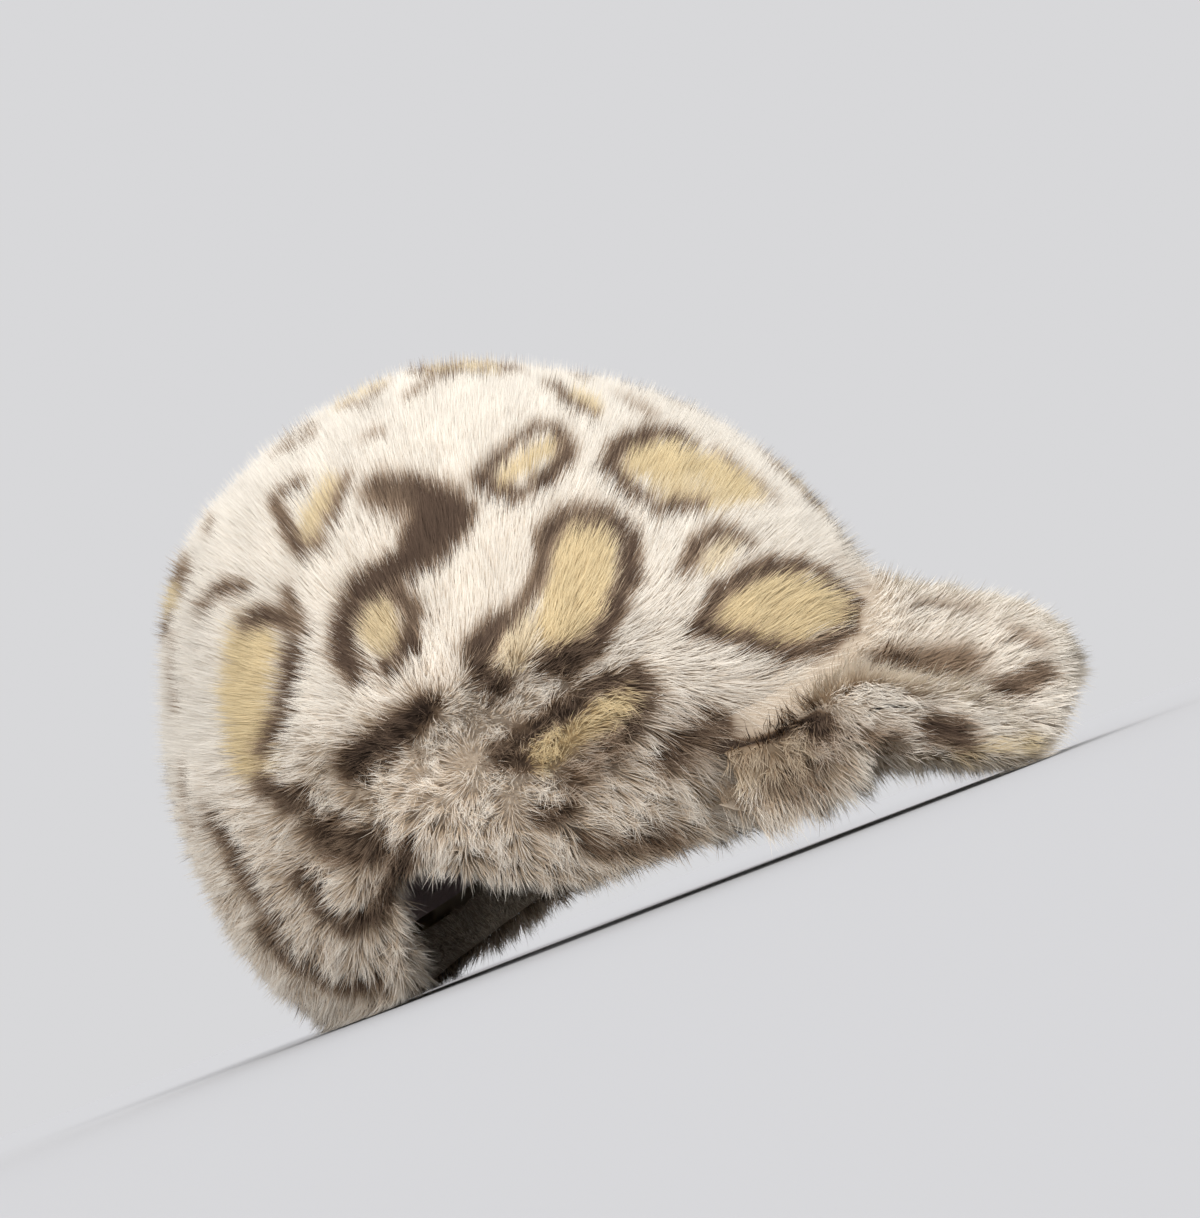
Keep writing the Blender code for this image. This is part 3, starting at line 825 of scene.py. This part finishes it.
def hairs(name, places, outward, lean, length, ruffle, bent, draw, print_of=print_at):
    """Hairs from their roots: near upright first, then over along their lean, and strayed by chance.

    A bent hair is a narrow diamond folded half way, and a straight one is a single long triangle. The
    root is as deep as the hair stands, less what the pile is proud, so the tips lie on the surface.
    """
    count = len(places)
    shaggy = ruffle[:, None]
    guard = draw.random((count, 1)) < GUARD_SHARE
    lengths = length * draw.uniform(*LENGTH_SPREAD, (count, 1)) * np.where(guard, GUARD_LONGER, 1.0)
    stray = draw.normal(0, STRAY, (count, 3)) * (STRAY_SLEEK + STRAY_SHAGGY * shaggy)
    tuft = wave_height(places, small_tufts)
    pull = wave_pull(places, small_tufts) * SMALL_PULL + wave_pull(places, large_tufts) * LARGE_PULL
    pull = shaggy * pull
    first = unit(outward + LOWER_LEAN * lean)
    second = unit(UPPER_STAND * outward + lean)
    upright = ((first * LOWER_SHARE + second * UPPER_SHARE) * outward).sum(axis=1, keepdims=True)
    roots = places - outward * (ROOT_DEPTH * (length * upright) - PROUD)
    first = unit(first + LOWER_STRAY * stray + LOWER_PULL * pull)
    raised = np.where(guard, GUARD_RISE, 0.0) * outward
    second = unit(second + UPPER_STRAY * stray + UPPER_PULL * pull + raised)
    bends = roots + first * lengths * LOWER_SHARE
    tips = bends + second * lengths * UPPER_SHARE
    aside = unit(np.cross(second, outward) + ASIDE_NUDGE)
    twist = draw.uniform(-TWIST, TWIST, (count, 1))
    aside = aside * np.cos(twist) + np.cross(second, aside) * np.sin(twist)
    half = HAIR_WIDTH * draw.uniform(*HALF_WIDTH_SPREAD, (count, 1))
    along = within_surface((tips - places) * draw.uniform(*PRINT_ALONG, (count, 1)), outward)
    dark, tan = print_of(places + along + draw.normal(0, PRINT_BLUR, (count, 3)))
    loose = np.clip(ruffle - LOOSE_ABOVE, 0, 1)
    # Ruffled hairs have brown roots, and are browner between the tufts as painted shade.
    brown = np.clip(loose * (draw.uniform(*BROWN_SPREAD, count) - BROWN_TUFT_SHADE * tuft), 0, 1)
    # Tone: lighter on the crests of the tufts and darker between them as painted shade, with random
    # differences from hair to hair.
    tone_and_shade = TONE_MIDDLE + PATCH_PAINTED_SHADE * wave_height(places, large_tufts)
    tone_and_shade = tone_and_shade + draw.normal(0, TONE_HAIR, count) + TUFT_PAINTED_SHADE * loose * tuft
    flat = unit(np.cross(aside, second))
    shading = unit(flat * SHADE_FLAT + outward * SHADE_OUTWARD + second * SHADE_ALONG)
    frost = 1 - FROST * loose * draw.uniform(0, 1, count)
    wide = aside * half
    broad = wide * STRAIGHT_WIDER
    forms = (
        (bent, [roots, bends + wide, bends - wide, tips], [0, 1, 2, 2, 1, 3], [0.0, 0.5, 0.5, 1.0]),
        (~bent, [roots - broad, roots + broad, tips], [0, 1, 2], [0.0, 0.0, 1.0]),
    )
    points, corners, values, normals = [], [], [], []
    start = 0
    for chosen, blade, corner_steps, shares in forms:
        many, each = int(chosen.sum()), len(blade)
        points.append(np.stack([part[chosen] for part in blade], axis=1).reshape(-1, 3))
        corners.append((start + np.arange(many)[:, None] * each + np.array(corner_steps)).ravel())
        stored = np.zeros((many, each, 4))
        stored[..., 0] = dark[chosen, None]
        stored[:, -1, 0] *= frost[chosen]
        stored[..., 1] = tan[chosen, None]
        way = np.array(shares)
        stored[..., 2] = way - brown[chosen, None] * (1 - way) * (1 + BROWN_UP * way)
        stored[..., 3] = np.clip(tone_and_shade, 0, 1)[chosen, None]
        values.append(stored.reshape(-1, 4))
        normals.append(np.repeat(shading[chosen], each, axis=0))
        start += many * each
    points = np.concatenate(points)
    points[:, 2] = np.maximum(points[:, 2], FLOOR_GAP)
    corners, values, normals = (np.concatenate(part) for part in (corners, values, normals))
    return new_piece(name, points, corners, np.full(len(corners) // 3, 3), hair_material, normals, values)


def backing(name, points, normals, closed, depth, print_of=print_at):
    """The dyed base of the pile, a little inside the fur's surface, darkened as painted shade of the deep
    pile.
    """
    inner = points - normals * depth
    inner[..., 2] = np.maximum(inner[..., 2], 2 * FLOOR_GAP)
    quads = grid_faces(points.shape[0], points.shape[1], closed).reshape(-1, 4)
    a, b, _, d = (inner.reshape(-1, 3)[quads[:, k]] for k in range(4))
    facing = (np.cross(b - a, d - a) * normals.reshape(-1, 3)[quads[:, 0]]).sum()
    if facing < 0:
        quads = quads[:, ::-1]
    dark, tan = print_of(points.reshape(-1, 3))
    plain = np.tile(BACKING_VALUES, (len(dark), 1))
    values = np.concatenate([dark[:, None], tan[:, None], plain], axis=1)
    sizes = np.full(len(quads), 4)
    return new_piece(name, inner.reshape(-1, 3), quads.ravel(), sizes, backing_material, None, values)


FAN_MIDDLE = MIDDLE + np.array([-0.010, 0.0, -0.012])
FAN_REACH = 0.075
FAN_SWIRL = 1.15
SWIRL_EVERYWHERE = 0.22
SWIRL_REACH = 0.42
DROOP_BELOW = 0.050
DROOP_FADE = 0.04
DROOP = 0.5
CREASE_REACH = 0.010
CREASE_LONGER = 0.70
CREASE_PUSH = np.array([0.9, 0, -0.25])
MM_IN_METRE = 1e3
COMBED = [
    # turn, rise, reach in mm, push along X, push up, strength
    (-56, -12, 17, 0.1, -1.0, 1.5),
    (-44, 12, 27, 0.2, 0.9, 0.8),
    (-74, 20, 20, 0.3, 0.9, 0.5),
    (-84, 6, 18, 0.8, 0.6, 0.7),
    (-100, -8, 14, -0.7, -0.5, 0.6),
    (-92, -24, 22, 0.0, -1.0, 0.6),
    (-118, -27, 13, 1.0, -0.3, 1.5),
    (-150, -20, 26, -0.4, -0.8, 0.5),
    (88, 6, 22, 0.7, 0.5, 0.7),
    (104, -10, 16, -0.5, -0.7, 0.6),
]
flow = [wave_field(seed, 0.050) for seed in (33, 34, 35)]


def at_most_one(vectors):
    """The vectors, with those that are longer than 1 cut to 1."""
    return vectors / np.maximum(np.linalg.norm(vectors, axis=1, keepdims=True), 1.0)


def crown_lean(places, outward):
    """Lean of the pile: out from the middle of each side like a fan, with some combed places."""
    lean = (places - FAN_MIDDLE) / FAN_REACH
    lean[:, 1] = 0
    low = np.clip((DROOP_BELOW - places[:, 2]) / DROOP_FADE, 0, 1)
    lean[:, 2] -= DROOP * low
    off = np.linalg.norm((places - FAN_MIDDLE)[:, [0, 2]], axis=1) / FAN_REACH
    swirl = np.stack([wave_height(places, field) for field in flow], axis=1)
    lean += (SWIRL_EVERYWHERE + FAN_SWIRL * np.exp(-((off / SWIRL_REACH) ** 2)))[:, None] * swirl
    for turn, rise, reach, push_x, push_z, strength in COMBED:
        centre = crown_point(np.array(float(turn)), np.array(float(rise)))[0]
        away = np.linalg.norm(places - centre, axis=1) * MM_IN_METRE
        near = np.exp(-((away / reach) ** 2))
        lean += strength * near[:, None] * np.array([push_x, 0, push_z])
    return at_most_one(within_surface(lean, outward))


def near_crease(places):
    """Nearness to the seam where the peak is sewn on: a bell curve of the distance to its root row."""
    gap = np.full(len(places), np.inf)
    for seam_place in peak_top_points[0]:
        gap = np.minimum(gap, np.linalg.norm(places - seam_place, axis=1))
    return np.exp(-((gap / CREASE_REACH) ** 2))[:, None]


SLEEK_ABOVE = 0.090
SLEEK_SLOPE = 0.48
SLOPE_START = 0.02
SLOPE_RUN = 0.1
RUFFLE_FADE = 0.038
LEAST_RUFFLE = 0.32
MORE_RUFFLE = 0.98


def crown_ruffle(places):
    """How shaggy the pile is: sleek above a line that falls towards the peak, ruffled below it."""
    line = SLEEK_ABOVE - SLEEK_SLOPE * np.clip(places[:, 0] + SLOPE_START, 0, SLOPE_RUN)
    return LEAST_RUFFLE + MORE_RUFFLE * np.clip((line - places[:, 2]) / RUFFLE_FADE, 0, 1)


# Backing cloth of the crown, deeper under ruffled fur and cut back at the corner of the rim.
CORNER_DEPTH = 0.0055
SLEEK_DEPTH = 0.75
RUFFLED_DEPTH = 0.55
crown_cloth = np.concatenate([dome_points, rim_points[1:]])
crown_depth = BACKING_DEPTH * (SLEEK_DEPTH + RUFFLED_DEPTH * crown_ruffle(crown_cloth.reshape(-1, 3)))
to_rim = np.linalg.norm(dome_points - dome_points[-1], axis=-1)[..., None]
to_outside = (np.arange(1, RIM_ROWS) * WALL / (RIM_ROWS - 1))[:, None, None]
crown_cloth[:CROWN_ROWS] -= rim_normals[RIM_ROWS // 3] * np.clip(CORNER_DEPTH - to_rim, 0, None)
crown_cloth[CROWN_ROWS:] -= dome_normals[-1] * np.clip(CORNER_DEPTH - to_outside, 0, None)
crown_depth = crown_depth.reshape(crown_cloth.shape[:2] + (1,))
crown_normals = np.concatenate([dome_normals, rim_normals[1:]])
crown_pieces = [backing("crown_backing", crown_cloth, crown_normals, True, crown_depth)]

# Hairs of the crown: bent ones low down and straight ones above, thinned where they are bent.
BENT_BELOW = 0.082
BENT_FADE = 0.006
BENT_SHARE = 0.70
RIM_SHARE = 0.62
RIM_SHORTER = 0.95
SECTORS = {
    "crown_fur_right": (crown_turns >= -135) & (crown_turns < -45),
    "crown_fur_left": (crown_turns >= 45) & (crown_turns < 135),
    "crown_fur_front": (crown_turns >= -45) & (crown_turns < 45),
    "crown_fur_back": (crown_turns < -135) | (crown_turns >= 135),
}
for number, (name, chosen) in enumerate(SECTORS.items()):
    draw = np.random.default_rng(40 + number)
    places, outward = roots_on(dome_points, dome_normals, True, HAIR_DENSITY, draw, chosen)
    low = places[:, 2] + draw.normal(0, BENT_FADE, len(places)) < BENT_BELOW
    kept = ~low | (draw.random(len(places)) < BENT_SHARE)
    places, outward, low = places[kept], outward[kept], low[kept]
    crease = near_crease(places)
    lean = within_surface(crown_lean(places, outward) + crease * CREASE_PUSH, outward)
    length = HAIR_LENGTH * (1 + CREASE_LONGER * crease)
    crown_pieces.append(hairs(name, places, outward, lean, length, crown_ruffle(places), low, draw))

draw = np.random.default_rng(50)
places, outward = roots_on(rim_points, rim_normals, True, HAIR_DENSITY * RIM_SHARE, draw)
lean = crown_lean(places, outward)
length, bent = HAIR_LENGTH * RIM_SHORTER, np.full(len(places), True)
crown_pieces.append(hairs("rim_fur", places, outward, lean, length, crown_ruffle(places), bent, draw))
for piece in crown_pieces:
    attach(piece, "root")
    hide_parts("crown")

# Peak: two covers of the same fur, sewn to each other at the edge and to the crown's front above the
# rim. Both are backing cloth with their own hairs.
PEAK_FAN = np.array([0.068, 0.0, 0.034])
PEAK_FAN_REACH = 0.045
PEAK_FAN_ACROSS = 0.7
PEAK_FORWARD = 0.35
PEAK_SWIRL = 0.25
PEAK_SHORTER = 0.95
PEAK_RUFFLE = 0.50
ROLL_RUFFLE = 0.75
ROLL_BESIDE = 0.02
ROLL_LEAN = np.array([0.1, 0, -1.2])
ROLL_END = 0.078
ROLL_FADE = 0.022
ROLL_LONGER = 0.45
SEAM_ROWS = 9
SEAM_THINNEST = 0.1
SEAM_BARE = 1.15


def on_roll(places):
    """How far back a place is: 0 on the front of the peak and 1 on the rolls beside the crown."""
    return np.clip((ROLL_END - places[:, 0]) / ROLL_FADE, 0, 1)


def peak_lean(places, outward):
    """Lean of the pile on the peak: out from its middle, and straight down on the rolls beside it."""
    lean = (places - PEAK_FAN) / PEAK_FAN_REACH
    lean[:, 1] *= PEAK_FAN_ACROSS
    lean[:, 0] += PEAK_FORWARD
    roll = on_roll(places) * (np.abs(places[:, 1]) > ROLL_BESIDE)
    lean += roll[:, None] * (ROLL_LEAN - lean)
    lean += PEAK_SWIRL * np.stack([wave_height(places, field) for field in flow], axis=1)
    return at_most_one(within_surface(lean, outward))


for node, points, normals, slot, density_share, seed in (
    ("peak_top", peak_top_points, peak_top_normals, "spotted_fur", 0.72, 61),
    ("peak_under", peak_under_points, peak_under_normals, "under_fur", 0.50, 62),
):
    draw = np.random.default_rng(seed)
    seam_rows = np.clip(np.arange(PEAK_SURFACE_ROWS) / SEAM_ROWS, SEAM_THINNEST, 1)[:, None, None]
    base = backing(node + "_backing", points, normals, False, BACKING_DEPTH * seam_rows)
    places, outward = roots_on(points, normals, False, HAIR_DENSITY * density_share, draw)
    clear = draw.random(len(places)) > SEAM_BARE * near_crease(places)[:, 0]
    places, outward = places[clear], outward[clear]
    roll = on_roll(places)
    ruffle = PEAK_RUFFLE + ROLL_RUFFLE * roll * (1 - near_crease(places)[:, 0])
    bent = np.full(len(places), True)
    length = HAIR_LENGTH * (PEAK_SHORTER + ROLL_LONGER * roll[:, None])
    cover = hairs(node + "_fur", places, outward, peak_lean(places, outward), length, ruffle, bent, draw)
    for piece in (base, cover):
        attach(piece, "root")
        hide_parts(node)

# Hem: the fur that is turned in along the rim, seen inside the far side of the rim. It is sewn to
# the lining's lower edge.
HEM_LIFT = 0.0027
HEM_HEIGHT = 0.0122
HEM_ROWS = 8
HEM_CLEAR = 8.0
HEM_BEHIND = 0.003
HEM_TAN = 0.12
HEM_BACKING_DEPTH = 0.0012
HEM_SHARE = 0.35
HEM_HAIR_LENGTH = 0.0075
HEM_HAIR_PROUD = 0.0025
HEM_DROP = 0.9
HEM_RUFFLE = 0.4


def hem_edge(turns):
    """Lower edge of the hem: the rim's greatest height near by, so that it stays behind a steep arch."""
    return np.max([rim_height(turns + HEM_CLEAR * step) for step in (-1, -0.5, 0, 0.5, 1)], axis=0)


hem_rows = []
hem_row_normals = []
for height_share in np.linspace(0, 1, HEM_ROWS):
    height = hem_edge(crown_turns) + HEM_LIFT + HEM_HEIGHT * height_share
    depth = WALL + CLEARANCE + HEM_BEHIND
    rise = rise_at_height(crown_turns, height, depth)
    row_points, row_normals = crown_point(crown_turns, rise, np.full(crown_turns.shape, depth))
    hem_rows.append(row_points)
    hem_row_normals.append(-row_normals)
hem_points, hem_normals = np.array(hem_rows), np.array(hem_row_normals)


def hem_print(points):
    """The hem is cut from a plain part of the pile, tan all round."""
    return np.zeros(len(points)), np.full(len(points), HEM_TAN)


draw = np.random.default_rng(71)
hem_backing = backing("hem_backing", hem_points, hem_normals, True, HEM_BACKING_DEPTH, hem_print)
places, outward = roots_on(hem_points, hem_normals, True, HAIR_DENSITY * HEM_SHARE, draw)
hem_lean = np.tile([0.0, 0.0, -HEM_DROP], (len(places), 1))
roots = places + outward * HEM_HAIR_PROUD
ruffle, bent = np.full(len(roots), HEM_RUFFLE), np.full(len(roots), True)
hem_fur = hairs("hem_fur", roots, outward, hem_lean, HEM_HAIR_LENGTH, ruffle, bent, draw, hem_print)
for piece in (hem_backing, hem_fur):
    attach(piece, "root")
    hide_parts("rim_hem")

# Lining: plain grey-pink cloth inside the crown, cut in six panels and sewn to the hem. The seams
# stand out as low ridges and the cloth is a little slack between them.
LINING_COLUMNS = 144
LINING_ROWS = 44
LINING_TOP_SHARE = 0.01
LINING_GAP = 0.0012
LINING_BEHIND = 0.0016
PANELS = 6
SEAM_HALF_WIDTH = 0.035
SEAM_FADE = 4
SEAM_HEIGHT = 0.0006
SLACK_HEIGHT = 0.0005
lining_turns = np.arange(LINING_COLUMNS) * 360.0 / LINING_COLUMNS - 180
lining_height = hem_edge(lining_turns) + HEM_LIFT + HEM_HEIGHT + 2 * LINING_GAP
lining_end = rise_at_height(lining_turns, lining_height, WALL)
lining_shares = np.linspace(LINING_TOP_SHARE, 1, LINING_ROWS)[:, None]
lining_rises = 90 - (90 - lining_end[None, :]) * lining_shares
panel_place = np.abs(np.sin(np.radians(lining_turns * PANELS / 2 + 90)))
seam = np.exp(-((panel_place / SEAM_HALF_WIDTH) ** 2))[None, :] * np.minimum(1, lining_shares * SEAM_FADE)
slack = wave_field(81, 0.045)
lining_depth = np.full(lining_rises.shape, WALL + LINING_BEHIND)
lining_points, lining_normals = crown_point(
    np.tile(lining_turns, (LINING_ROWS, 1)), lining_rises, lining_depth
)
bulge = SEAM_HEIGHT * seam + SLACK_HEIGHT * wave_height(lining_points, slack)
lining_points = lining_points - lining_normals * bulge[..., None]

LINING_PINK = (0.56, 0.46, 0.455)
PINK_SPREAD = (0.8, 1.15)
WEAVE_SCALE = 900
WEAVE_DETAIL = 4
CLOUD_SCALE = 45
WEAVE_STRENGTH = 0.35
WEAVE_HEIGHT = 0.0003
LINING_ROUGHNESS = 0.85
lining_material = bpy.data.materials.new("lining_cloth")
lining_material.use_nodes = True
nodes, links = lining_material.node_tree.nodes, lining_material.node_tree.links
shader = nodes["Principled BSDF"]
place = nodes.new("ShaderNodeTexCoord")
weave = nodes.new("ShaderNodeTexNoise")
weave.inputs["Scale"].default_value = WEAVE_SCALE
weave.inputs["Detail"].default_value = WEAVE_DETAIL
cloud = nodes.new("ShaderNodeTexNoise")
cloud.inputs["Scale"].default_value = CLOUD_SCALE
links.new(place.outputs["Object"], weave.inputs["Vector"])
links.new(place.outputs["Object"], cloud.inputs["Vector"])
tint = nodes.new("ShaderNodeMix")
tint.data_type = "RGBA"
tint.inputs[6].default_value = (*(PINK_SPREAD[0] * c for c in LINING_PINK), 1)
tint.inputs[7].default_value = (*(PINK_SPREAD[1] * c for c in LINING_PINK), 1)
links.new(cloud.outputs["Fac"], tint.inputs["Factor"])
links.new(tint.outputs[2], shader.inputs["Base Color"])
bump = nodes.new("ShaderNodeBump")
bump.inputs["Strength"].default_value = WEAVE_STRENGTH
bump.inputs["Distance"].default_value = WEAVE_HEIGHT
links.new(weave.outputs["Fac"], bump.inputs["Height"])
links.new(bump.outputs["Normal"], shader.inputs["Normal"])
shader.inputs["Roughness"].default_value = LINING_ROUGHNESS
quads = grid_faces(LINING_ROWS, LINING_COLUMNS, True).reshape(-1, 4)
lining_points, sizes = lining_points.reshape(-1, 3), np.full(len(quads), 4)
lining_cloth = new_piece("lining_cloth", lining_points, quads.ravel(), sizes, lining_material, None, None)
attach(lining_cloth, "root")
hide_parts("lining")

# Floor: a plain pale table under the cap.
FLOOR_SIZE = 30.0
FLOOR_GREY = (0.497, 0.497, 0.506, 1)
floor_mesh = bpy.data.meshes.new("floor")
corner = FLOOR_SIZE / 2
floor_corners = [(-corner, -corner, 0), (corner, -corner, 0), (corner, corner, 0), (-corner, corner, 0)]
floor_mesh.from_pydata(floor_corners, [], [(0, 1, 2, 3)])
floor = bpy.data.objects.new("floor", floor_mesh)
bpy.context.scene.collection.objects.link(floor)
floor_material = bpy.data.materials.new("floor_paper")
floor_material.use_nodes = True
floor_shader = floor_material.node_tree.nodes["Principled BSDF"]
floor_shader.inputs["Base Color"].default_value = FLOOR_GREY
floor_shader.inputs["Roughness"].default_value = 1.0
floor_shader.inputs["Specular IOR Level"].default_value = 0.0
floor_mesh.materials.append(floor_material)

# Light: three broad soft studio lights, far enough away that they light the table evenly, and a
# pale sky all round.
LIGHTS = [
    # name, direction it comes from, breadth in degrees, strength
    ("key_light", (2.2, -2.6, 2.9), 30, 1.70),
    ("low_light", (-0.5, -3.6, 0.34), 34, 1.90),
    ("back_light", (-0.4, 3.4, 2.4), 48, 1.50),
]
SKY_COLOUR = (0.98, 0.98, 1.0, 1)
SKY_STRENGTH = 0.70
for name, direction, breadth, strength in LIGHTS:
    light_data = bpy.data.lights.new(name, "SUN")
    light_data.angle = math.radians(breadth)
    light_data.energy = strength
    light = bpy.data.objects.new(name, light_data)
    light.rotation_euler = (-Vector(direction)).to_track_quat("-Z", "Y").to_euler()
    bpy.context.scene.collection.objects.link(light)
world = bpy.data.worlds.new("sky")
world.use_nodes = True
sky = world.node_tree.nodes["Background"]
sky.inputs["Color"].default_value = SKY_COLOUR
sky.inputs["Strength"].default_value = SKY_STRENGTH
bpy.context.scene.world = world
bpy.context.scene.view_settings.view_transform = "Standard"
